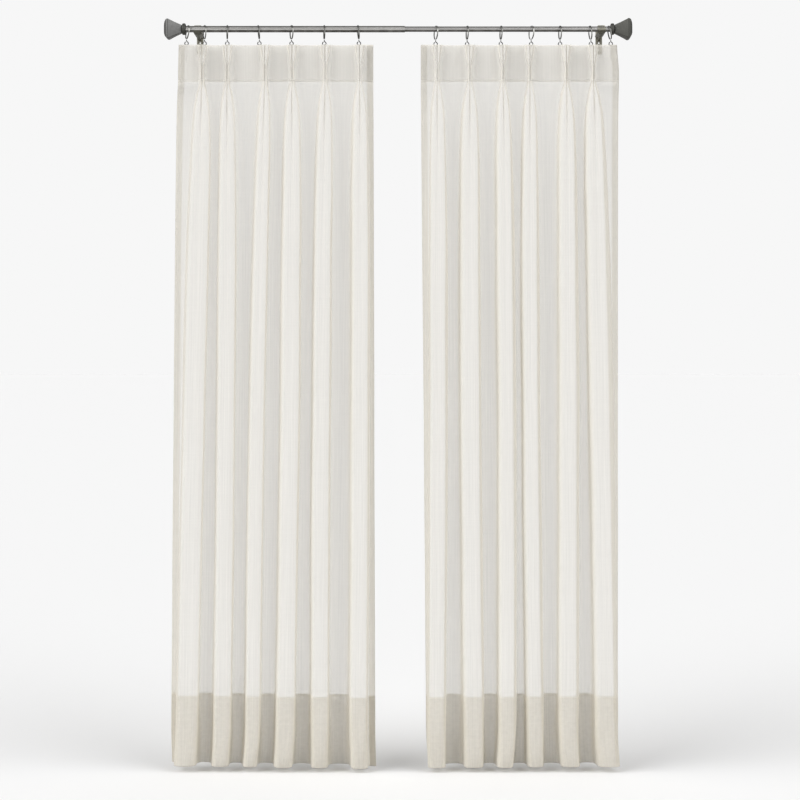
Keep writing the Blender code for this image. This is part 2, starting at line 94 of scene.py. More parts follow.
# %% [markdown]
# ## The camera
#
# The photograph was taken from about six metres away with a long lens, which keeps the panels'
# sides straight. One pixel of it is 2.95 mm at the front of the folds. The rod is seen from a
# little below and the hem from a little above, and where they balance is the eye level. The
# camera looks straight ahead from there, so that upright lines stay upright, and a small shift
# of the lens takes in the hem.

# %% Camera
PIXEL = 2.952 * MM
PHOTO_SIDE = 800
MIDDLE_COLUMN = 399.5
EYE_ROW = 365.8
EYE_HEIGHT = -0.998
PIXELS_AWAY = 2100
SENSOR_WIDTH = 36.0
FOLD_FRONT = (ROD_Y - 27.0) * MM


def add_object(name, data):
    """A new object with this data, linked to the scene."""
    made = bpy.data.objects.new(name, data)
    bpy.context.scene.collection.objects.link(made)
    return made


camera_data = bpy.data.cameras.new("camera")
camera_data.sensor_width = SENSOR_WIDTH
camera_data.lens = SENSOR_WIDTH * PIXELS_AWAY / PHOTO_SIDE
camera_data.shift_x = (PHOTO_SIDE / 2 - MIDDLE_COLUMN) / PHOTO_SIDE
camera_data.shift_y = (EYE_ROW - PHOTO_SIDE / 2) / PHOTO_SIDE
camera = add_object("camera", camera_data)
camera.location = (0.0, FOLD_FRONT - PIXELS_AWAY * PIXEL, EYE_HEIGHT)
camera.rotation_euler = (math.radians(90.0), 0.0, 0.0)
bpy.context.scene.camera = camera
print(f"camera {PIXELS_AWAY * PIXEL:.2f} m away with a {camera_data.lens:.1f} mm lens")

# %% [markdown]
# ## Light and floor
#
# Voile shows its folds only when light rakes across it. Two broad lights, one from each side of
# the camera, make both edges of every fold bright and leave the cloth between the folds in soft
# shade. A weak one from high behind glows through the cloth a little and lays a soft shadow on
# the floor in front of the hem. Suns are used because they light the whole floor evenly: what
# the floor will look like is a plain sum, and the room beyond it is given the same value, so the
# two meet without a line. The floor is kept out of the diffuse light that falls on the cloth,
# as its glow from below would fill the shade between the folds.

# %% Three suns
ROOM_LIGHT = 0.24
FLOOR_WHITE = 0.81
SUNS = (
    ("left light", -61.0, 32.0, 2.75, 60.0, True),
    ("right light", 57.0, 32.0, 2.05, 60.0, True),
    ("high back light", 165.0, 62.0, 0.35, 50.0, False),
)


def add_sun(name, azimuth, elevation, strength, spread, shines):
    """A sun from azimuth (0 is the camera's side, negative its left), mirrored in metal or not."""
    light = bpy.data.lights.new(name, "SUN")
    light.energy = strength
    light.angle = math.radians(spread)
    lamp = add_object(name, light)
    lamp.visible_glossy = shines
    turn, rise = math.radians(azimuth), math.radians(elevation)
    source = Vector((math.sin(turn) * math.cos(rise), -math.cos(turn) * math.cos(rise), math.sin(rise)))
    lamp.rotation_euler = (-source).to_track_quat("-Z", "Y").to_euler()


floor_light = ROOM_LIGHT
for name, azimuth, elevation, strength, spread, shines in SUNS:
    add_sun(name, azimuth, elevation, strength, spread, shines)
    floor_light += strength * math.sin(math.radians(elevation)) / math.pi
floor_seen = FLOOR_WHITE * floor_light
print("an open floor is seen as", round(floor_seen, 3))

# %% The room, as light and as what the camera sees
room = bpy.data.worlds.new("pale room")
room.use_nodes = True
bpy.context.scene.world = room
nodes, links = room.node_tree.nodes, room.node_tree.links
lit_by = nodes["Background"]
seen_as = nodes.new("ShaderNodeBackground")
for background, strength in ((lit_by, ROOM_LIGHT), (seen_as, floor_seen)):
    background.inputs["Color"].default_value = (1.0, 1.0, 1.0, 1.0)
    background.inputs["Strength"].default_value = strength
ray_kind = nodes.new("ShaderNodeLightPath")
choose = nodes.new("ShaderNodeMixShader")
links.new(ray_kind.outputs["Is Camera Ray"], choose.inputs["Fac"])
links.new(lit_by.outputs[0], choose.inputs[1])
links.new(seen_as.outputs[0], choose.inputs[2])
links.new(choose.outputs[0], nodes["World Output"].inputs["Surface"])
print("the room lights with strength", ROOM_LIGHT)

# %% The floor
FLOOR_DROP = 12.0
FLOOR_RADIUS = 300.0
floor_mesh = bmesh.new()
bmesh.ops.create_circle(floor_mesh, cap_ends=True, radius=FLOOR_RADIUS, segments=64)
floor_data = bpy.data.meshes.new("floor")
floor_mesh.to_mesh(floor_data)
floor_mesh.free()
floor = add_object("floor", floor_data)
floor.location.z = cad_low.z - FLOOR_DROP * MM
floor_paint = bpy.data.materials.new("pale floor")
floor_paint.use_nodes = True
floor_shader = floor_paint.node_tree.nodes["Principled BSDF"]
floor_shader.inputs["Base Color"].default_value = (FLOOR_WHITE, FLOOR_WHITE, FLOOR_WHITE, 1.0)
floor_shader.inputs["Roughness"].default_value = 1.0
floor_shader.inputs["Specular IOR Level"].default_value = 0.0
floor_data.materials.append(floor_paint)
floor.visible_diffuse = False
floor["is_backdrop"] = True
bpy.context.scene.view_settings.view_transform = "Standard"
print("floor at", round(floor.location.z, 4), "m")

# %% [markdown]
# ## Shader maths as plain sums
#
# A finish is a tree of nodes, and its maths soon takes dozens of Math nodes. This small class
# wraps one socket, so that a sum such as `0.5 + slub * 0.1` adds those nodes by itself. Every
# other node comes from `node`, which takes its type, its settings and what goes into its sockets.

# %% A socket that does sums
class Signal:
    """One output socket of a node tree, with Python's operators as Math nodes."""

    def __init__(self, tree, socket=None):
        self.tree = tree
        self.socket = socket

    def node(self, kind, settings=None, sockets=None, out=0):
        """Add a node: first its settings, then values or links for its sockets."""
        made = self.tree.nodes.new("ShaderNode" + kind)
        for name, value in (settings or {}).items():
            setattr(made, name, value)
        for name, value in (sockets or {}).items():
            if isinstance(value, Signal):
                self.tree.links.new(value.socket, made.inputs[name])
            else:
                made.inputs[name].default_value = value
        return Signal(self.tree, made.outputs[out])

    def maths(self, operation, *values):
        return self.node("Math", {"operation": operation}, dict(enumerate(values)))

    def __add__(self, other):
        return self.maths("ADD", self, other)

    def __radd__(self, other):
        return self.maths("ADD", other, self)

    def __sub__(self, other):
        return self.maths("SUBTRACT", self, other)

    def __rsub__(self, other):
        return self.maths("SUBTRACT", other, self)

    def __mul__(self, other):
        return self.maths("MULTIPLY", self, other)

    def __rtruediv__(self, other):
        return self.maths("DIVIDE", other, self)

    def __pow__(self, other):
        return self.maths("POWER", self, other)

    def held(self, low=0.0, high=1.0):
        """This value, kept between two limits."""
        return self.maths("MINIMUM", self.maths("MAXIMUM", self, low), high)


def new_material(name):
    """A material with a Principled shader, and a Signal to build its nodes from."""
    material = bpy.data.materials.new(name)
    material.use_nodes = True
    return material, Signal(material.node_tree), material.node_tree.nodes["Principled BSDF"]


def colour_mix(tree, share, first, second):
    """A colour between two, by share."""
    sockets = {0: share}
    for index, colour in ((6, first), (7, second)):
        sockets[index] = colour if isinstance(colour, Signal) else (*colour, 1.0)
    return tree.node("Mix", {"data_type": "RGBA"}, sockets, out=2)


print("shader helper ready")

# %% [markdown]
# ## Antique pewter
#
# The rod, finials, brackets and rings all have a brushed pewter finish. A plain grey would look
# like plastic. Here a bare metal colour and a dark colour are mixed by which way the surface
# faces: painted shade darkens the undersides, the tops and the ends, which leaves a lighter band
# across the front, and a noise that is stretched along the rod breaks that up with a random tone.
# Each shade setting says how far a face has to look that way before the painted shade starts,
# and how fast it darkens from there. The two finials get copies of one pewter: the left one
# lighter, as painted light, the right one darker and browner, as painted shade.

# %% Pewter finishes
GRAIN_ALONG = 18.0
GRAIN_ACROSS = 900.0
GRAIN_CAST = 320.0
CLOUD_SCALE = 45.0
PAINTED_SHADE_BELOW = (0.20, 3.5)
PAINTED_SHADE_ON_TOP = (0.24, 3.0)
PAINTED_SHADE_AT_ENDS = (0.55, 4.0)
PAINTED_SHADE_FULL = 0.92
TONE_UNEVEN = 0.45


def pewter(name, bare_colour, dark_tone_and_shade, roughness, brushed=False, top_shade=0.5, end_shade=0.0):
    """Metal whose colour gets painted shade below, on top and on its ends, and a random tone."""
    material, tree, shader = new_material(name)
    place = tree.node("TexCoord", out=3)
    stretch = (GRAIN_ALONG, GRAIN_ACROSS, GRAIN_ACROSS) if brushed else (GRAIN_CAST,) * 3
    grain_place = tree.node("Mapping", {}, {"Vector": place, "Scale": stretch})
    grain = tree.node("TexNoise", {}, {"Vector": grain_place, "Scale": 1.0, "Detail": 3.0}) - 0.5
    cloud = tree.node("TexNoise", {}, {"Vector": place, "Scale": CLOUD_SCALE, "Detail": 2.0}) - 0.5
    facing = tree.node("NewGeometry", out=1)
    sideways = tree.node("SeparateXYZ", {}, {"Vector": facing}, out=0)
    upward = tree.node("SeparateXYZ", {}, {"Vector": facing}, out=2)
    # Painted shade: faces that look down, up or along the rod at the ends are darkened by their
    # direction.
    underneath = ((-PAINTED_SHADE_BELOW[0] - upward) * PAINTED_SHADE_BELOW[1]).held()
    on_top = ((upward - PAINTED_SHADE_ON_TOP[0]) * PAINTED_SHADE_ON_TOP[1]).held()
    at_ends = ((sideways.maths("ABSOLUTE", sideways) - PAINTED_SHADE_AT_ENDS[0]) * PAINTED_SHADE_AT_ENDS[1]).held()
    by_facing = underneath * PAINTED_SHADE_FULL + on_top * top_shade + at_ends * end_shade
    tone_and_shade_share = (by_facing + (grain + cloud) * TONE_UNEVEN).held()
    paint = colour_mix(tree, tone_and_shade_share, bare_colour, dark_tone_and_shade)
    rough = (roughness + grain * 0.22 + tone_and_shade_share * 0.1).held(0.15, 0.9)
    bump = tree.node("Bump", {}, {"Height": grain, "Strength": 0.25, "Distance": 0.0002})
    for socket, signal in (("Base Color", paint), ("Roughness", rough), ("Normal", bump)):
        material.node_tree.links.new(signal.socket, shader.inputs[socket])
    shader.inputs["Metallic"].default_value = 0.9
    return material


ROD_DARK_TONE_AND_SHADE = (0.07, 0.066, 0.06)
rod_metals = {
    "wide": pewter("brushed pewter of the wide tube", (0.62, 0.61, 0.59), ROD_DARK_TONE_AND_SHADE, 0.36, True, 0.72),
    # The thin tube's copy is darker than the wide tube's: a painted shade.
    "thin": pewter("brushed pewter of the thin tube", (0.54, 0.53, 0.52), ROD_DARK_TONE_AND_SHADE, 0.38, True, 0.72),
}
# The finials take two copies of one pewter: the left lighter as painted light, the right darker and
# browner as painted shade.
finial_metals = {
    "left": pewter("pewter finial with painted light", (0.16, 0.16, 0.157), (0.07, 0.068, 0.064), 0.50, end_shade=0.8),
    "right": pewter("pewter finial with painted shade", (0.088, 0.088, 0.08), (0.07, 0.068, 0.06), 0.60, end_shade=0.4),
}
bracket_metal = pewter("olive grey bracket", (0.32, 0.31, 0.26), (0.08, 0.076, 0.06), 0.50)
wire_metal = pewter("drawn pewter wire", (0.36, 0.36, 0.34), (0.08, 0.08, 0.07), 0.30)
# The eye wire is darker all over than the other wires.
eye_metal = pewter("dark eye wire", (0.075, 0.075, 0.07), (0.035, 0.035, 0.03), 0.45)
hook_metal = pewter("bright hook wire", (0.72, 0.71, 0.68), (0.30, 0.29, 0.27), 0.22)
print("eight metal finishes")

# %% [markdown]
# ## Putting a piece in the scene
#
# Each finished mesh becomes an object that stays at the origin, with its place in its points.
# It rides on the model's one body and stands for the plain nodes that it replaces.

# %% Finish a piece
def to_object(name, shape, material, smooth_angle=40.0):
    """A bmesh as an object, in metres, smooth but for edges sharper than smooth_angle."""
    mesh = bpy.data.meshes.new(name)
    shape.to_mesh(mesh)
    shape.free()
    mesh.materials.append(material)
    mesh.shade_smooth()
    if smooth_angle is not None:
        mesh.set_sharp_from_angle(angle=math.radians(smooth_angle))
    return add_object(name, mesh)


def dress(piece, slot, *nodes):
    """The piece rides on the model and replaces its plain nodes; slot is not used."""
    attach(piece, "root")
    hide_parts(*nodes)
    return piece


def round_edges(shape, width, segments, sharper_than):
    """Round each edge that is sharper than an angle in degrees, in the shape's own units."""
    limit = math.radians(sharper_than)
    sharp = [edge for edge in shape.edges if edge.is_manifold and edge.calc_face_angle() > limit]
    bmesh.ops.bevel(
        shape, geom=sharp, offset=width, segments=segments, profile=0.5, affect="EDGES",
        material=-1, clamp_overlap=True,
    )


print("pieces can be rounded and dressed")

# %% [markdown]
# ## The rod
#
# The rod is two steel tubes, one sliding inside the other. A tube is a turned shape: a thin
# closed outline of its wall is spun once round the rod's axis. The end of the wide tube is
# rolled in slightly over the thin one, which gives the little step that shows in the middle.

# %% Spin an outline round the rod
ROD_AXIS = Vector((1.0, 0.0, 0.0))
ROUND_STEPS = 64
MERGE = 0.00001


def spun_on_rod(outline, closed):
    """Spin (x along the rod, radius) points, in millimetres, round the rod's axis."""
    shape = bmesh.new()
    ring = [shape.verts.new((x * MM, ROD_Y * MM, radius * MM)) for x, radius in outline]
    pairs = list(zip(ring, ring[1:])) + ([(ring[-1], ring[0])] if closed else [])
    edges = [shape.edges.new(pair) for pair in pairs]
    bmesh.ops.spin(
        shape, geom=ring + edges, cent=(0.0, ROD_Y * MM, 0.0), axis=ROD_AXIS,
        angle=math.tau, steps=ROUND_STEPS, use_merge=True,
    )
    bmesh.ops.remove_doubles(shape, verts=shape.verts, dist=MERGE)
    bmesh.ops.recalc_face_normals(shape, faces=shape.faces)
    return shape


print("round pieces are spun in", ROUND_STEPS, "steps")

# %% The two tubes
ROLLED_LIP = 0.8
TUBE_WALL = 1.2


def tube_outline(start, end, radius):
    """A tube's wall from start to end, its right end rolled in a little."""
    inside = radius - TUBE_WALL
    return [
        (start, inside), (start, radius), (end - 2 * ROLLED_LIP, radius),
        (end - ROLLED_LIP / 2, radius - ROLLED_LIP / 4), (end, radius - ROLLED_LIP), (end, inside),
    ]


for size, node in (("wide", "rod_outer"), ("thin", "rod_inner")):
    low, high = node_box(node)
    outline = tube_outline(low.x, high.x, (high.z - low.z) / 2)
    tube = to_object(f"{size}_tube", spun_on_rod(outline, True), rod_metals[size])
    dress(tube, "rod_pewter", node)
    print(f"{size} tube has {len(tube.data.polygons)} faces")

# %% [markdown]
# ## Collars and finials
#
# Between each tube and its finial sits a turned bead. The finial is square: it flares like a
# trumpet with four flat sides and ends in a low pillow. A four-sided cone gives the flare, and
# its wide end is then extruded and shrunk in small steps that follow a quarter circle.

# %% The two collars
COLLAR_STEPS = 8
COLLAR_LIP = 13.0


def collar_outline(start, end, radius):
    """A bead with flat ends: half a rounded bulge between two lips."""
    outline = [(start, 0.0), (start, COLLAR_LIP)]
    for step in range(1, COLLAR_STEPS):
        share = step / COLLAR_STEPS
        bulge = (1.0 - abs(2.0 * share - 1.0) ** 3.0) ** 0.5
        outline.append((start + (end - start) * share, COLLAR_LIP + (radius - COLLAR_LIP) * bulge))
    return outline + [(end, COLLAR_LIP), (end, 0.0)]


for side in ("left", "right"):
    low, high = node_box(f"finial_collar_{side}")
    outline = collar_outline(low.x, high.x, (high.z - low.z) / 2)
    # Both collars take the right finial's darker copy, with its painted shade.
    bead = to_object(f"bead_collar_{side}", spun_on_rod(outline, False), finial_metals["right"])
    dress(bead, "finial_pewter", f"finial_collar_{side}")
    print(f"{side} collar {high.x - low.x:.1f} mm long")

# %% The two finials
FINIAL_NECK = 23.0
FINIAL_WIDE = 56.0
FINIAL_FLARE = 39.0
FINIAL_RIM = 2.5
FINIAL_DOME = 11.5
FINIAL_EDGE = 0.9
FINIAL_ROLL = {"left": 1.5, "right": -2.0}
FLARE_STEPS = 5
FLARE_BEND = 0.12
DOME_STEPS = 8


def square_finial():
    """A finial that stands on its neck at the origin and opens upwards, in millimetres."""
    corner = math.sqrt(2.0)
    shape = bmesh.new()
    bmesh.ops.create_circle(shape, cap_ends=True, radius=FINIAL_NECK / corner, segments=4)
    top = shape.faces[:]
    width, height = FINIAL_NECK, 0.0
    rings = []
    for step in range(1, FLARE_STEPS + 1):
        share = step / FLARE_STEPS
        flared = (1.0 - FLARE_BEND) * share + FLARE_BEND * share ** 2
        rings.append((FINIAL_NECK + (FINIAL_WIDE - FINIAL_NECK) * flared, FINIAL_FLARE * share))
    shoulder = FINIAL_FLARE + FINIAL_RIM
    rings.append((FINIAL_WIDE, shoulder))
    for step in range(1, DOME_STEPS):
        angle = math.pi / 2 * step / DOME_STEPS
        rings.append((FINIAL_WIDE * math.cos(angle), shoulder + FINIAL_DOME * math.sin(angle)))
    for next_width, next_height in rings:
        grown = bmesh.ops.extrude_face_region(shape, geom=top)["geom"]
        corners = [part for part in grown if isinstance(part, bmesh.types.BMVert)]
        bmesh.ops.delete(shape, geom=top, context="FACES_ONLY")
        top = [part for part in grown if isinstance(part, bmesh.types.BMFace)]
        stretch = next_width / width
        bmesh.ops.scale(shape, vec=(stretch, stretch, 1.0), verts=corners)
        bmesh.ops.translate(shape, vec=(0.0, 0.0, next_height - height), verts=corners)
        width, height = next_width, next_height
    bmesh.ops.poke(shape, faces=top)
    crown = max(shape.verts, key=lambda vertex: vertex.co.z - vertex.co.xy.length)
    crown.co.z = shoulder + FINIAL_DOME
    bmesh.ops.contextual_create(shape, geom=[edge for edge in shape.edges if edge.is_boundary])
    eighth_turn = Matrix.Rotation(math.radians(45.0), 3, "Z")
    bmesh.ops.rotate(shape, cent=(0, 0, 0), matrix=eighth_turn, verts=shape.verts)
    bmesh.ops.recalc_face_normals(shape, faces=shape.faces)
    return shape


for side, outward in (("left", -1.0), ("right", 1.0)):
    low, high = node_box(f"finial_{side}")
    start = high.x if side == "left" else low.x
    shape = square_finial()
    round_edges(shape, FINIAL_EDGE, segments=3, sharper_than=22.0)
    lay = Matrix.Rotation(math.radians(90.0 * outward), 4, "Y")
    roll = Matrix.Rotation(math.radians(FINIAL_ROLL[side]), 4, "X")
    place = Matrix.Translation((start * MM, ROD_Y * MM, 0.0)) @ roll @ lay @ Matrix.Scale(MM, 4)
    bmesh.ops.transform(shape, matrix=place, verts=shape.verts)
    knob = to_object(f"square_finial_{side}", shape, finial_metals[side], smooth_angle=24.0)
    dress(knob, "finial_pewter", f"finial_{side}")
    print(f"{side} finial has {len(knob.data.polygons)} faces")

# %% [markdown]
# ## Brackets
#
# The back plate and the cradle arm have the right shape already, but their edges are razor
# sharp, and cast metal never is. A merged copy of each gets a small bevel, which catches light.

# %% Round the brackets' edges
FLAT_BELOW = math.radians(2.0)
ARM_EDGE = 0.5
PLATE_EDGE = 0.4


def softened_copy(node, name, width, material):
    """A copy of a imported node, merged, with small rounded edges."""
    shape = bmesh.new()
    shape.from_mesh(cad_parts[node].data)
    bmesh.ops.remove_doubles(shape, verts=shape.verts, dist=MERGE)
    bmesh.ops.dissolve_limit(shape, angle_limit=FLAT_BELOW, verts=shape.verts, edges=shape.edges)
    round_edges(shape, width * MM, segments=2, sharper_than=32.0)
    bmesh.ops.triangulate(shape, faces=[face for face in shape.faces if len(face.verts) > 4])
    return to_object(name, shape, material)


for side in ("left", "right"):
    arm = softened_copy(f"bracket_arm_{side}", f"cradle_arm_{side}", ARM_EDGE, bracket_metal)
    dress(arm, "bracket_metal", f"bracket_arm_{side}")
    plate = softened_copy(f"wall_plate_{side}", f"screw_plate_{side}", PLATE_EDGE, bracket_metal)
    dress(plate, "bracket_metal", f"wall_plate_{side}")
    print(f"{side} bracket has {len(arm.data.polygons) + len(plate.data.polygons)} faces")

# %% [markdown]
# ## Rings, eyes and hooks
#
# Each ring is bent from round wire and hangs on the rod by its top. A screw eye hangs under it,
# and a pin hook goes from the eye down behind the heading. Rings slide and swing by hand, so no
# two of them sit alike: the table gives each ring's place, its lean and how far it has turned.
# A small circle of wire, spun round the ring's middle, makes the ring.

# %% The ring table
RING_MIDDLE = 20.4
RING_WIRE = 1.8
RING_WIRE_SIDES = 14
RING_STEPS = 56
RINGS = (
    (-625.7, -8.0, 18.0), (-577.9, 0.0, 16.0), (-510.6, 0.0, 7.0), (-419.2, 5.4, 7.0),
    (-320.1, 0.0, 15.0), (-223.0, 0.0, 6.0), (-123.6, 4.6, 6.0), (108.9, -2.5, 14.0),
    (201.2, -1.0, 7.0), (301.5, -1.5, 6.0), (392.1, -2.5, 17.0), (476.1, 0.0, 7.0),
    (564.0, 5.0, 7.0), (619.2, 10.0, 6.0),
)


def ring_shape(place):
    """A wire ring that hangs from the origin, moved by a matrix."""
    shape = bmesh.new()
    quarter = math.radians(90.0)
    upright = Matrix.Rotation(quarter, 4, "Y") @ Matrix.Rotation(quarter, 4, "X")
    bmesh.ops.create_circle(shape, radius=RING_WIRE * MM, segments=RING_WIRE_SIDES, matrix=upright)
    bmesh.ops.rotate(shape, cent=(0, 0, 0), matrix=Matrix.Rotation(quarter, 3, "X"), verts=shape.verts)
    circle = shape.verts[:] + shape.edges[:]
    middle = Vector((0.0, 0.0, -RING_MIDDLE * MM))
    bmesh.ops.spin(
        shape, geom=circle, cent=middle, axis=(1.0, 0.0, 0.0), angle=math.tau, steps=RING_STEPS,
        use_merge=True,
    )
    bmesh.ops.remove_doubles(shape, verts=shape.verts, dist=MERGE)
    bmesh.ops.recalc_face_normals(shape, faces=shape.faces)
    bmesh.ops.transform(shape, matrix=place, verts=shape.verts)
    return shape


print("rings", round(2 * (RING_MIDDLE + RING_WIRE), 1), "mm across")

# %% [markdown]
# ### Bent wires
#
# The eye is a thick wire bent into a loop that almost closes. The hook is a thin one that goes
# over the eye and comes up again as a pin, which is pushed into the heading from behind. A wire
# is easiest as a curve through points, with a round bevel as its thickness.

# %% A wire through points
def bent_wire(name, points, radius, material):
    """A round wire through points in millimetres, with closed ends."""
    curve = bpy.data.curves.new(name, "CURVE")
    curve.dimensions = "3D"
    curve.bevel_depth = radius * MM
    curve.bevel_resolution = 3
    curve.use_fill_caps = True
    spline = curve.splines.new("POLY")
    spline.points.add(len(points) - 1)
    for point, place in zip(spline.points, points):
        point.co = (*(place * MM), 1.0)
    spline.use_smooth = True
    curve.materials.append(material)
    return add_object(name, curve)


print("wires are ready to bend")

# %% The screw eye's line
EYE_LOOP = 5.2
EYE_WIRE = 1.4
EYE_SHANK = 4.5
EYE_DEPTH = 11.3
EYE_HALF_OPEN = 26.0
EYE_STEPS = 30


def eye_points(top):
    """Down the shank and once round the loop, whose ends almost meet."""
    points = [top, top - Vector((0.0, 0.0, EYE_SHANK))]
    for step in range(EYE_STEPS + 1):
        angle = math.radians(90.0 - EYE_HALF_OPEN - (360.0 - 2 * EYE_HALF_OPEN) * step / EYE_STEPS)
        across, up = EYE_LOOP * math.cos(angle), EYE_LOOP * math.sin(angle)
        points.append(top + Vector((across, 0.0, up - EYE_DEPTH)))
    return points


print("each eye has", len(eye_points(Vector())), "points")

# %% The pin hook's line
HOOK_WIRE = 0.7
HOOK_BEND = 2.5
HOOK_LEG = 44.0
HOOK_TAIL = 3.0
HOOK_STEPS = 12
PIN_BEHIND = 3.0
PIN_HEIGHT = 27.0
PIN_STEPS = 8


def hook_points(seat):
    """Over the eye from behind, down in front of it and up again as a pin."""
    places = [(HOOK_BEND, -HOOK_TAIL)]
    for step in range(HOOK_STEPS + 1):
        angle = math.pi * step / HOOK_STEPS
        places.append((HOOK_BEND * math.cos(angle), HOOK_BEND * math.sin(angle)))
    turn = PIN_BEHIND / 2
    for step in range(PIN_STEPS + 1):
        angle = math.pi * step / PIN_STEPS
        places.append((-HOOK_BEND - turn + turn * math.cos(angle), -HOOK_LEG - turn * math.sin(angle)))
    places.append((-HOOK_BEND - PIN_BEHIND, PIN_HEIGHT - HOOK_LEG))
    return [seat + Vector((0.0, y, z)) for y, z in places]


print("each hook has", len(hook_points(Vector())), "points")

# %% Hang the rings
for number, (ring_x, lean, turn) in enumerate(RINGS, start=1):
    rod_radius = OUTER_RADIUS if ring_x < outer_high.x else INNER_RADIUS
    top = rod_radius + SEAT_GAP + RING_WIRE
    hang = Matrix.Translation((ring_x * MM, ROD_Y * MM, top * MM))
    swing = Matrix.Rotation(math.radians(-lean), 4, "Y") @ Matrix.Rotation(math.radians(turn), 4, "Z")
    ring = to_object(f"wire_ring_{number:02d}", ring_shape(hang @ swing), wire_metal, smooth_angle=None)
    dress(ring, "ring_wire", f"ring_{number:02d}")
    reach = 2 * RING_MIDDLE
    eye_x = ring_x + reach * math.sin(math.radians(lean))
    eye_z = top - reach * math.cos(math.radians(lean)) - RING_WIRE - SEAT_GAP
    eye_line = eye_points(Vector((eye_x, ROD_Y, eye_z)))
    eye = bent_wire(f"screw_eye_{number:02d}", eye_line, EYE_WIRE, eye_metal)
    dress(eye, "ring_wire", f"eyelet_{number:02d}")
    seat = Vector((eye_x, ROD_Y, eye_z - EYE_DEPTH - EYE_LOOP))
    hook = bent_wire(f"pin_hook_{number:02d}", hook_points(seat), HOOK_WIRE, hook_metal)
    dress(hook, "hook_wire", f"hook_{number:02d}")
print(len(RINGS), "rings, eyes and hooks")

# %% [markdown]
# ## How the cloth hangs
#
# A pinch-pleated panel is a flat width of voile. In the heading it is gathered into pleats of
# two fingers each, stitched together at their feet. Below, each pleat opens into one deep soft
# fold that runs all the way to the hem. A simulation could drape it, but it would not put the
# folds where the photograph has them. So each fold's place is listed, and the cloth's outline
# at any height follows from it by a formula.

# %% The folds, from left to right
CURTAIN_TOP = -47.0
HEADING_DEPTH = 109.0
CURTAIN_LENGTH = 2134.0
HEM_DEPTH = 206.0
FOLD_COLUMNS = ("pleat_x", "hem_x", "hem_width", "depth", "wander", "kick")
EDGE_COLUMNS = ("top_x", "corner", "spread", "hem_x", "hem_y", "foot_x", "foot_y", "kick")
PANELS = {
    "left": {
        "folds": (
            (-583.0, -631.0, 66.0, 1.00, -2.0, -3.0),
            (-508.9, -526.0, 53.0, 0.90, 3.0, -5.0),
            (-397.5, -436.0, 44.0, 0.94, -5.0, -7.0),
            (-317.0, -340.0, 56.0, 1.05, 4.0, -5.0),
            (-219.5, -237.0, 52.0, 0.96, -4.0, 0.0),
            (-117.5, -123.0, 53.0, 1.08, 3.0, 4.0),
        ),
        "left_edge": (-656.0, 2.0, -8.0, -672.0, 32.0, -662.0, 26.0, 3.0),
        "right_edge": (-77.5, 0.0, 0.0, -72.0, 6.0, -91.0, 9.0, 3.0),
        "hem_fall": (-4.0, 4.0),
        "seed": 3.0,
    },
    "right": {
        "folds": (
            (111.0, 107.0, 53.0, 1.04, 4.0, 3.0),
            (207.5, 219.0, 59.0, 0.98, -4.0, 0.0),
            (305.5, 317.0, 51.0, 1.06, 5.0, -6.0),
            (385.0, 401.0, 49.0, 0.90, -5.0, 1.0),
            (493.0, 498.0, 57.0, 0.98, 4.0, 8.0),
            (573.0, 612.0, 67.0, 1.04, 3.0, 5.0),
        ),
        "left_edge": (63.0, 0.0, 0.0, 79.0, 20.0, 86.0, 10.0, 7.0),
        "right_edge": (650.0, -6.0, 0.0, 649.0, 28.0, 641.0, 18.0, -3.0),
        "hem_fall": (2.0, -2.0),
        "seed": 11.0,
    },
}
print("folds in each panel:", [len(panel["folds"]) for panel in PANELS.values()])

# %% [markdown]
# ### Levels down the cloth
#
# The table says what a fold looks like at a few drops below the top: how wide it is, how deep,
# how far it has opened and drifted towards its place at the hem. Between those rows the values
# must change smoothly, or each row would show as a bend in the cloth. A cubic curve through the
# rows does that.

# %% Levels
LEVEL_COLUMNS = ("drop", "half", "tip", "base", "open", "drift", "crease", "front", "back", "overlap")
BELOW_BAND = (6.5, 3.6, 5.5)
LEVELS = (
    (0.0, 15.0, 11.5, 9.0, 0.0, 0.0, 24.0, 24.0, 0.0, 0.0),
    (40.0, 9.5, 6.6, 6.5, 0.0, 0.0, 27.0, 27.0, 0.0, 0.0),
    (75.0, 4.2, 2.7, 3.6, 0.0, 0.0, 28.5, 28.5, 0.0, 0.0),
    (109.0, 6.0, 3.6, 5.2, 0.0, 0.0, 29.0, 29.0, 0.0, 0.0),
    (150.0, *BELOW_BAND, 0.36, 0.02, 9.0, 29.0, 3.0, 1.0),
    (210.0, *BELOW_BAND, 0.68, 0.06, 5.5, 30.0, 9.0, 2.5),
    (330.0, *BELOW_BAND, 0.86, 0.12, 3.5, 31.0, 17.0, 4.0),
    (560.0, *BELOW_BAND, 0.96, 0.26, 2.0, 32.0, 25.0, 5.5),
    (950.0, *BELOW_BAND, 1.0, 0.46, 1.0, 32.0, 31.0, 6.0),
    (1450.0, *BELOW_BAND, 1.0, 0.70, 0.0, 32.0, 32.0, 6.0),
    (1928.0, *BELOW_BAND, 1.0, 0.92, 0.0, 33.0, 31.0, 5.0),
    (2050.0, *BELOW_BAND, 1.0, 0.97, 0.0, 36.0, 34.0, 3.0),
    (CURTAIN_LENGTH, *BELOW_BAND, 1.0, 1.0, 0.0, 41.0, 37.0, 1.0),
)


def slope_at(index, column):
    """The slope of a column at one row, never steep enough to overshoot a neighbour."""
    if index in (0, len(LEVELS) - 1):
        return 0.0
    before, here, after = (LEVELS[index + step] for step in (-1, 0, 1))
    rise_in = (here[column] - before[column]) / (here[0] - before[0])
    rise_out = (after[column] - here[column]) / (after[0] - here[0])
    if rise_in * rise_out <= 0.0:
        return 0.0
    return 2.0 * rise_in * rise_out / (rise_in + rise_out)


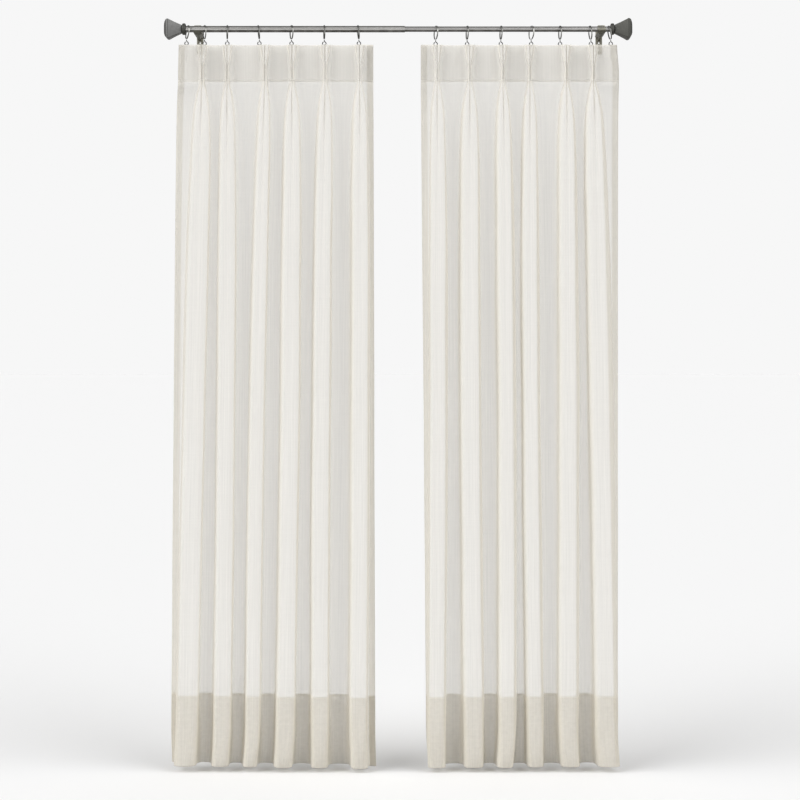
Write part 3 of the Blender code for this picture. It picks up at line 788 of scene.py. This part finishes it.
def level_at(drop):
    """Every column of the table at any drop, on a smooth curve through its rows."""
    drop = min(max(drop, 0.0), CURTAIN_LENGTH)
    index = max(i for i in range(len(LEVELS) - 1) if LEVELS[i][0] <= drop)
    above, below = LEVELS[index], LEVELS[index + 1]
    gap = below[0] - above[0]
    t = (drop - above[0]) / gap
    level = {"drop": drop}
    for column in range(1, len(LEVEL_COLUMNS)):
        start, end = above[column], below[column]
        leave, arrive = slope_at(index, column) * gap, slope_at(index + 1, column) * gap
        level[LEVEL_COLUMNS[column]] = (
            start * (2 * t ** 3 - 3 * t ** 2 + 1) + leave * (t ** 3 - 2 * t ** 2 + t)
            + end * (3 * t ** 2 - 2 * t ** 3) + arrive * (t ** 3 - t ** 2)
        )
    return level


print("open share half way down the first fold:", round(level_at(250.0)["open"], 2))

# %% [markdown]
# ### One cut through the cloth
#
# Seen from above, a fold starts at its foot at the back, swings out round its bulge to its tip,
# dips into the crease between the two fingers, and comes back the same way on the other side.
# Two quarter ellipses make each side. Because the same number of points is used at every height,
# a column of points is one thread of the cloth, which falls from the heading to the hem.

# %% The sides and the front of one fold
QUARTER_STEPS = 6
FRONT_STEPS = 8
CLOSED_FINGERS = (
    (-1.0, 0.0), (-0.5, -0.05), (-0.04, 0.0), (-0.02, 0.4), (0.0, 1.0),
    (0.02, 0.4), (0.04, 0.0), (0.5, -0.05), (1.0, 0.0),
)


def blend(start, end, share):
    return start + (end - start) * share


def fold_side(foot, lobe_x, tip, overlap, outward):
    """From a fold's foot round its bulge, up to but not with its tip."""
    middle_y = (foot[1] + tip[1]) / 2
    points = []
    for step in range(QUARTER_STEPS):
        angle = math.pi / 2 * step / QUARTER_STEPS
        under = overlap * math.sin(2 * angle)
        points.append((blend(foot[0], lobe_x, math.sin(angle)) - outward * under,
                       blend(foot[1], middle_y, 1 - math.cos(angle))))
    for step in range(QUARTER_STEPS):
        angle = math.pi / 2 * step / QUARTER_STEPS
        over = overlap * math.sin(2 * angle)
        points.append((blend(tip[0], lobe_x, math.cos(angle)) + outward * over,
                       blend(middle_y, tip[1], math.sin(angle))))
    return points


def fold_front(x, tip, front, crease, opened):
    """From the left tip across the crease to the right tip: two fingers, which touch in the heading."""
    points = []
    opened = opened ** 2
    for step, (closed_across, closed_deep) in enumerate(CLOSED_FINGERS):
        across = 2.0 * step / FRONT_STEPS - 1.0
        deep = blend(closed_deep, math.cos(math.pi / 2 * across) ** 2, opened)
        points.append((x + tip * blend(closed_across, across, opened), front + crease * deep))
    return points


print("each fold has", 4 * QUARTER_STEPS + FRONT_STEPS + 1, "points")

# %% Where each fold stands at one level
TIP_SHARE = 0.5
HEM_TIP_SHARE = 0.26
KICK_STARTS = 2000.0


def kick_at(level):
    """How much of the hem's sideways kick a level has, from none to all of it."""
    near_hem = (level["drop"] - KICK_STARTS) / (CURTAIN_LENGTH - KICK_STARTS)
    return min(max(near_hem, 0.0), 1.0) ** 2


def fold_places(panel, level):
    """Each fold's middle, widths, front and back at a level."""
    opened, kicked, places = level["open"], kick_at(level), []
    tip_share = blend(TIP_SHARE, HEM_TIP_SHARE, kicked)
    for row in panel["folds"]:
        fold = dict(zip(FOLD_COLUMNS, row))
        swing = fold["wander"] * math.sin(math.pi * level["drift"]) + fold["kick"] * kicked
        depth = blend(1.0, fold["depth"], opened)
        places.append({
            "x": blend(fold["pleat_x"], fold["hem_x"], level["drift"]) + swing,
            "half": blend(level["half"], fold["hem_width"] / 2, opened),
            "tip": blend(level["tip"], tip_share * fold["hem_width"] / 2, opened),
            "front": -level["front"] * depth,
            "back": level["back"] * depth,
        })
    return places


hem_folds = fold_places(PANELS["left"], level_at(CURTAIN_LENGTH))
print("folds' middles at the left hem:", [round(fold["x"]) for fold in hem_folds])

# %% Where the cloth turns at the back and ends
BACK_FLAT_SHARE = 0.4
CORNER_PULL = 75.0


def feet_and_edges(panel, level, places):
    """Each fold's left and right foot, and the cloth's left and right edge."""
    opened, kicked = level["open"], kick_at(level)
    feet = [[None, None] for _ in places]
    for index, (left, right) in enumerate(zip(places, places[1:])):
        left_flank, right_flank = left["x"] + left["half"], right["x"] - right["half"]
        middle = (left_flank + right_flank) / 2
        flat = BACK_FLAT_SHARE * (right_flank - left_flank) / 2
        back = (left["back"] + right["back"]) / 2
        feet[index][1] = (blend(left["x"] + level["base"], middle - flat, opened), back)
        feet[index + 1][0] = (blend(right["x"] - level["base"], middle + flat, opened), back)
    edges = []
    for edge, index, which, outward in (("left_edge", 0, 0, -1), ("right_edge", -1, 1, 1)):
        facts = dict(zip(EDGE_COLUMNS, panel[edge]))
        pinched = places[index]["x"] + outward * level["base"]
        hanging = places[index]["x"] + facts["foot_x"] - panel["folds"][index][1]
        feet[index][which] = (blend(pinched, hanging, opened), facts["foot_y"] * opened)
        pulled = facts["corner"] * max(1.0 - level["drop"] / CORNER_PULL, 0.0)
        spread = facts["spread"] * opened + facts["kick"] * kicked + pulled
        edge_x = blend(facts["top_x"], facts["hem_x"], level["drift"]) + spread
        edges.append((edge_x, facts["hem_y"] * opened))
    return feet, edges


def joining_line(start, end, steps, bow):
    """Points from start, up to but not with end, bowed a little backwards."""
    points = []
    for step in range(steps):
        share = step / steps
        points.append((blend(start[0], end[0], share),
                       blend(start[1], end[1], share) + bow * math.sin(math.pi * share)))
    return points


_, hem_edges = feet_and_edges(PANELS["left"], level_at(CURTAIN_LENGTH), hem_folds)
print("left hem is", round(hem_edges[1][0] - hem_edges[0][0]), "mm wide")

# %% The whole cut
BACK_STEPS = 6
EDGE_STEPS = 8
BACK_BOW = 2.0
QUIET_SIDE = 0.2


def cut_through(panel, level):
    """The cloth's line in plan at a level, in millimetres, from its left edge to its right."""
    opened, overlap = level["open"], level["overlap"]
    places = fold_places(panel, level)
    feet, (left_edge, right_edge) = feet_and_edges(panel, level, places)
    line = joining_line(left_edge, feet[0][0], EDGE_STEPS, 0.0)
    for index, (place, (left_foot, right_foot)) in enumerate(zip(places, feet)):
        front = fold_front(place["x"], place["tip"], place["front"], level["crease"], opened)
        left_lobe, right_lobe = place["x"] - place["half"], place["x"] + place["half"]
        line += fold_side(left_foot, left_lobe, front[0], overlap * QUIET_SIDE, -1)
        line += front
        line += fold_side(right_foot, right_lobe, front[-1], overlap, 1)[::-1]
        if index + 1 < len(places):
            line += joining_line(right_foot, feet[index + 1][0], BACK_STEPS, BACK_BOW * opened)[1:]
    line += joining_line(feet[-1][1], right_edge, EDGE_STEPS, 0.0)[1:]
    return line + [right_edge]


THREADS = len(cut_through(PANELS["left"], level_at(0.0)))
print("threads followed across a panel:", THREADS)

# %% [markdown]
# ### Hems and small unevenness
#
# Real cloth is hemmed: at its sides a narrow strip is turned to the back, and at the bottom a
# wide one is turned up and stitched. Where two layers lie together the voile is denser, and that
# is what shows a hem on a sheer panel. So the hems are modelled as a real second layer, a
# millimetre behind the first. The cloth also gets long shallow ripples, as no fold is perfectly
# straight, and small puckers along the stitching. Each wave says how long it is across and down
# the cloth, how high it is, and which part of the noise it is read from.

# %% The side hems
SIDE_HEM = 19.0
SIDE_HEM_STEPS = 5


def running_length(line):
    """How far along the cloth each point of a cut lies."""
    lengths = [0.0]
    for (x0, y0), (x1, y1) in zip(line, line[1:]):
        lengths.append(lengths[-1] + math.hypot(x1 - x0, y1 - y0))
    return lengths


def with_side_hems(line):
    """(x, y, how far behind the front layer, thread place) with both side hems turned back."""
    along = running_length(line)
    width = along[-1]
    tagged = [(x, y, 0.0, place) for (x, y), place in zip(line, along)]

    def strip(from_edge):
        found = []
        for step in range(SIDE_HEM_STEPS + 1):
            inward = SIDE_HEM * (1.0 - step / SIDE_HEM_STEPS)
            place = inward if from_edge == 0 else width - inward
            index = max(i for i in range(len(along) - 1) if along[i] <= place)
            share = min((place - along[index]) / max(along[index + 1] - along[index], 1e-6), 1.0)
            x = blend(line[index][0], line[index + 1][0], share)
            y = blend(line[index][1], line[index + 1][1], share)
            outside = -inward if from_edge == 0 else width + inward
            found.append((x, y, 1.0, outside))
        return found

    return strip(0) + tagged + strip(1)[::-1]


print("side hems are", SIDE_HEM, "mm wide")

# %% Ripples, puckers and sag
HEM_TOP = CURTAIN_LENGTH - HEM_DEPTH
LONG_WAVE = (46.0, 420.0, 2.2, 0.0)
FINE_WAVE = (11.0, 700.0, 0.42, 40.0)
PUCKER = (7.0, 30.0, 0.55, 80.0)
PUCKER_REACH = 22.0
LOOSE_AFTER = 350.0
TOP_SAG = 1.6
PLEAT_NOD = 0.13
NOD_REACH = 40.0


def wave_height(wave, place, drop, seed):
    """The height of one kind of unevenness at a point of the cloth, in millimetres."""
    across, down, height, seed_step = wave
    return height * noise.noise(Vector((place / across, drop / down, seed + seed_step)))


def ripple(place, drop, seed):
    """How far the cloth strays from its ideal fold, in millimetres."""
    loose = min(max((drop - HEADING_DEPTH) / LOOSE_AFTER, 0.0), 1.0)
    near_hem = math.exp(-((drop - HEM_TOP) / PUCKER_REACH) ** 2)
    waves = wave_height(LONG_WAVE, place, drop, seed) + wave_height(FINE_WAVE, place, drop, seed)
    return loose * waves + near_hem * wave_height(PUCKER, place, drop, seed)


def top_sag(panel, x, y, drop):
    """The stiff heading nods forward at its pleats and hangs a little between two hooks."""
    pleats = [fold[0] for fold in panel["folds"]]
    fade = max(1.0 - drop / (HEADING_DEPTH + NOD_REACH), 0.0)
    nod = PLEAT_NOD * fade * max(-y, 0.0)
    for left, right in zip(pleats, pleats[1:]):
        if left < x < right:
            return nod + TOP_SAG * fade * math.sin(math.pi * (x - left) / (right - left)) ** 2
    return nod


print("the stitching puckers over", 2 * PUCKER_REACH, "mm")

# %% [markdown]
# ### Laying the grid on its folds
#
# The cloth starts as a flat grid, and each point is then moved to its place on the folds. A UV
# map keeps where that point was on the flat cloth, in metres, so threads and slubs follow the
# cloth however it is folded.

# %% Make a sheet of cloth
CLOTH_HALF = 0.6
HEADING_Y = ROD_Y - HOOK_BEND - PIN_BEHIND - HOOK_WIRE - SEAT_GAP - CLOTH_HALF
SIDE_LAYER_GAP = 0.88


def lay_cloth(name, panel, rows, material):
    """rows gives each row's drop, how far behind the front layer it is, and its cloth length."""
    cuts = [with_side_hems(cut_through(panel, level_at(drop))) for drop, _, _ in rows]
    columns = len(cuts[0])
    middle_cut = cuts[len(cuts) // 2]
    sheet = bmesh.new()
    bmesh.ops.create_grid(sheet, x_segments=columns - 1, y_segments=len(rows) - 1, size=0.5)
    uv_layer = sheet.loops.layers.uv.new("cloth")
    flat_place = {}
    for vertex in sheet.verts:
        column = round((vertex.co.x + 0.5) * (columns - 1))
        row = round((0.5 - vertex.co.y) * (len(rows) - 1))
        drop, behind, length = rows[row]
        cut = cuts[row]
        x, y, turned, place = cut[column]
        before, after = cut[max(column - 1, 0)], cut[min(column + 1, columns - 1)]
        along = Vector((after[0] - before[0], after[1] - before[1]))
        if turned:
            along = -along
        if along.length < 1e-6:
            along = Vector((1.0, 0.0))
        along.normalize()
        backward = Vector((-along.y, along.x))
        push = behind + turned * SIDE_LAYER_GAP + ripple(place, drop, panel["seed"])
        share = column / (columns - 1)
        fall = blend(*panel["hem_fall"], share) * drop / CURTAIN_LENGTH
        sag = top_sag(panel, x, y, drop)
        vertex.co = Vector((
            x + backward.x * push, HEADING_Y + y + backward.y * push, CURTAIN_TOP - drop - fall - sag
        )) * MM
        flat_place[vertex.index] = (middle_cut[column][3] * MM, length * MM)
    for face in sheet.faces:
        for loop in face.loops:
            loop[uv_layer].uv = flat_place[loop.vert.index]
    bmesh.ops.recalc_face_normals(sheet, faces=sheet.faces)
    return to_object(name, sheet, material, smooth_angle=None)


print(f"the cloth hangs {ROD_Y - HEADING_Y:.1f} mm in front of the rod's axis")

# %% The rows of a panel and of its heading
LAYER_GAP = 1.1
STITCH_GAP = 0.35
SEAM_TUCK = 1.5
TUCKED_BEHIND = 0.5
HEM_BACK_ROWS = 30
BAND_FRONT_ROWS = 30
BAND_BACK_ROWS = 24
ROW_PLAN = (
    (HEADING_DEPTH - SEAM_TUCK, 340.0, 34),
    (340.0, HEM_TOP - 24.0, 104),
    (HEM_TOP - 24.0, HEM_TOP + 30.0, 18),
    (HEM_TOP + 30.0, CURTAIN_LENGTH - 4.0, 16),
    (CURTAIN_LENGTH - 4.0, CURTAIN_LENGTH, 3),
)


def spread_rows(start, end, count):
    """count evenly spaced drops from start up to but not with end."""
    return [blend(start, end, step / count) for step in range(count)]


def hem_layer_gap(drop):
    """The gap between the hem's layers: pinched at the stitching, loose below it."""
    return blend(STITCH_GAP, LAYER_GAP, min(max((drop - HEM_TOP - 3.0) / 14.0, 0.0), 1.0))


def panel_rows():
    """Front rows down to the hem's fold, then the turned-up layer back to its stitching."""
    drops = []
    for start, end, count in ROW_PLAN:
        drops += spread_rows(start, end, count)
    rows = [(drop, TUCKED_BEHIND if drop < HEADING_DEPTH else 0.0, drop) for drop in drops]
    rows.append((CURTAIN_LENGTH, LAYER_GAP / 2, CURTAIN_LENGTH))
    for step in range(HEM_BACK_ROWS):
        share = (step / (HEM_BACK_ROWS - 1)) ** 1.15
        drop = blend(CURTAIN_LENGTH - 1.0, HEM_TOP - 2.0, share)
        rows.append((drop, hem_layer_gap(drop), 2 * CURTAIN_LENGTH - drop))
    return rows


def heading_rows():
    """From the foot of the band's front layer up over the top and down its back."""
    rows = [(drop, 0.0, drop) for drop in spread_rows(HEADING_DEPTH, 1.0, BAND_FRONT_ROWS)]
    rows += [(0.4, 0.15, 0.0), (0.0, LAYER_GAP / 2, -0.5), (0.4, LAYER_GAP * 0.9, -1.0)]
    for step in range(BAND_BACK_ROWS):
        drop = blend(1.5, HEADING_DEPTH, step / (BAND_BACK_ROWS - 1))
        rows.append((drop, LAYER_GAP, -1.5 - drop))
    return rows


print("rows in a panel and in a heading:", len(panel_rows()), len(heading_rows()))

# %% [markdown]
# ## Voile
#
# Voile is a plain weave of fine, tightly twisted threads with open gaps between them, so part of
# the light goes straight through the gaps, part is scattered back by the threads, and part glows
# through them. The shader has those three parts: a Transparent shader for the gaps, a soft
# surface and a Translucent shader for the threads. Seen aslant the gaps close up, which makes
# the sides of the folds look denser. Thicker stretches of thread, called slubs, run both ways
# and keep the cloth from looking like plastic film.

# %% The voile finishes
THREAD_PITCH = 0.55 * MM
STITCH_LENGTH = 3.0 * MM
STRIP = 4.0 * MM
SHARPEST = 2500.0
DOWN_SLUBS = (240.0, 3.5, 1.0)
CROSS_SLUBS = (6.0, 260.0, 1.0)
BROAD_BANDS = (26.0, 1.1, 1.0)
CRUMPLES = (70.0, 85.0, 1.0)


def voile(name, cover, light, dark, slub_strength, glow_share, strips, stitch_row, hem_from):
    """Cloth whose threads hide `cover` of what is behind it when seen square on.

    strips are (length, side) pairs where a turned-in edge makes a dense strip with a painted
    highlight, stitch_row is where the stitches run, and from hem_from down the cloth is doubled, a
    little crumpled and darker with painted shade.
    """
    material, tree, surface = new_material(name)
    flat = tree.node("UVMap", {"uv_map": "cloth"})
    across = tree.node("SeparateXYZ", {}, {"Vector": flat}, out=0)
    along = tree.node("SeparateXYZ", {}, {"Vector": flat}, out=1)

    def wave(signal, pitch):
        return signal.maths("SINE", signal * (math.tau / pitch))

    def slubs(scale, detail=2.5):
        """Noise on the flat cloth, stretched by its scale across and along."""
        place = tree.node("Mapping", {}, {"Vector": flat, "Scale": scale})
        noise_at = {"Vector": place, "Scale": 1.0, "Detail": detail, "Roughness": 0.55}
        return tree.node("TexNoise", {}, noise_at) - 0.5

    weave = (wave(across, THREAD_PITCH) + wave(along, THREAD_PITCH)) * 0.25
    down = slubs(DOWN_SLUBS)
    over = slubs(CROSS_SLUBS)
    broad = slubs(BROAD_BANDS)
    crumple = slubs(CRUMPLES, detail=1.5)
    in_hem = ((along - hem_from) * SHARPEST).held()
    strip = ((along - strips[0][0]) * (strips[0][1] * SHARPEST)).held()
    for length, side in strips[1:]:
        strip = strip + ((along - length) * (side * SHARPEST)).held()
    on_row = (1.0 - along.maths("ABSOLUTE", along - stitch_row) * SHARPEST).held()
    stitch = on_row * (wave(across, STITCH_LENGTH) * 2.0 + 1.0).held()
    uneven = (down + over * 0.22 + in_hem * crumple * 0.55) * slub_strength
    denser = broad * 0.10 + weave * 0.08 + strip * 0.12 + stitch * 0.3
    hidden = (cover + uneven + denser).held(0.05, 0.97)
    facing = tree.node("LayerWeight", {}, {"Blend": 0.5}, out=1)
    square_on = (1.0 - facing).held(0.10, 1.0)
    solid = 1.0 - (1.0 - hidden) ** (1.0 / square_on)
    # The tint is lighter on the turned-in strips, a painted highlight, and darker in the hem, a painted
    # shade; slubs, bands and stitches are the cloth's own.
    shade = (0.5 + uneven * 1.6 + broad * 0.3 + stitch * 0.4 + strip * 0.5 - in_hem * 0.4).held()
    tint = colour_mix(tree, shade, dark, light)
    bump_height = weave * 0.35 + down * 0.8 + over * 0.3 + in_hem * crumple * 1.6 + stitch
    bump = tree.node("Bump", {}, {"Height": bump_height, "Strength": 0.4, "Distance": 0.0003})
    links = material.node_tree.links
    links.new(tint.socket, surface.inputs["Base Color"])
    links.new(bump.socket, surface.inputs["Normal"])
    surface.inputs["Roughness"].default_value = 0.85
    surface.inputs["Specular IOR Level"].default_value = 0.2
    surface.inputs["Sheen Weight"].default_value = 0.5
    surface.inputs["Sheen Roughness"].default_value = 0.45
    glow = tree.node("BsdfTranslucent", {}, {"Color": (*light, 1.0), "Normal": bump})
    soft = Signal(material.node_tree, surface.outputs[0])
    threads = tree.node("MixShader", {}, {0: glow_share, 1: soft, 2: glow})
    gaps = tree.node("BsdfTransparent")
    cloth = tree.node("MixShader", {}, {0: solid, 1: gaps, 2: threads})
    links.new(cloth.socket, material.node_tree.nodes["Material Output"].inputs["Surface"])
    return material


IVORY_LIGHT = (0.945, 0.917, 0.85)
IVORY_DARK = (0.855, 0.815, 0.73)
BAND_LIGHT = (0.965, 0.94, 0.88)
BAND_DARK = (0.90, 0.865, 0.79)
BAND_EDGE = HEADING_DEPTH * MM - STRIP
panel_voile = voile(
    "ivory voile", 0.56, IVORY_LIGHT, IVORY_DARK, 0.17, 0.30,
    strips=((2 * CURTAIN_LENGTH * MM - HEM_TOP * MM - STRIP, 1.0),),
    stitch_row=(HEM_TOP + 1.5) * MM, hem_from=HEM_TOP * MM,
)
heading_voile = voile(
    "stiffened heading voile", 0.48, BAND_LIGHT, BAND_DARK, 0.10, 0.08,
    strips=((BAND_EDGE, 1.0), (-BAND_EDGE, -1.0)),
    stitch_row=BAND_EDGE, hem_from=1.0,
)
print("voile with threads every", THREAD_PITCH / MM, "mm")

# %% Hang both panels
for side, panel in PANELS.items():
    first_ring = 1 if side == "left" else 8
    hooks = [f"hook_{number:02d}" for number in range(first_ring, first_ring + 7)]
    band = lay_cloth(f"pleated_heading_{side}", panel, heading_rows(), heading_voile)
    dress(band, "heading_voile", f"heading_{side}")
    drape = lay_cloth(f"voile_panel_{side}", panel, panel_rows(), panel_voile)
    dress(drape, "voile", f"panel_{side}")
    print(f"{side} panel has {len(drape.data.polygons)} faces")

# %% Print the sizes and finish
low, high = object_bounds()
print("visual model is", [round(side / MM) for side in high - low], "mm")
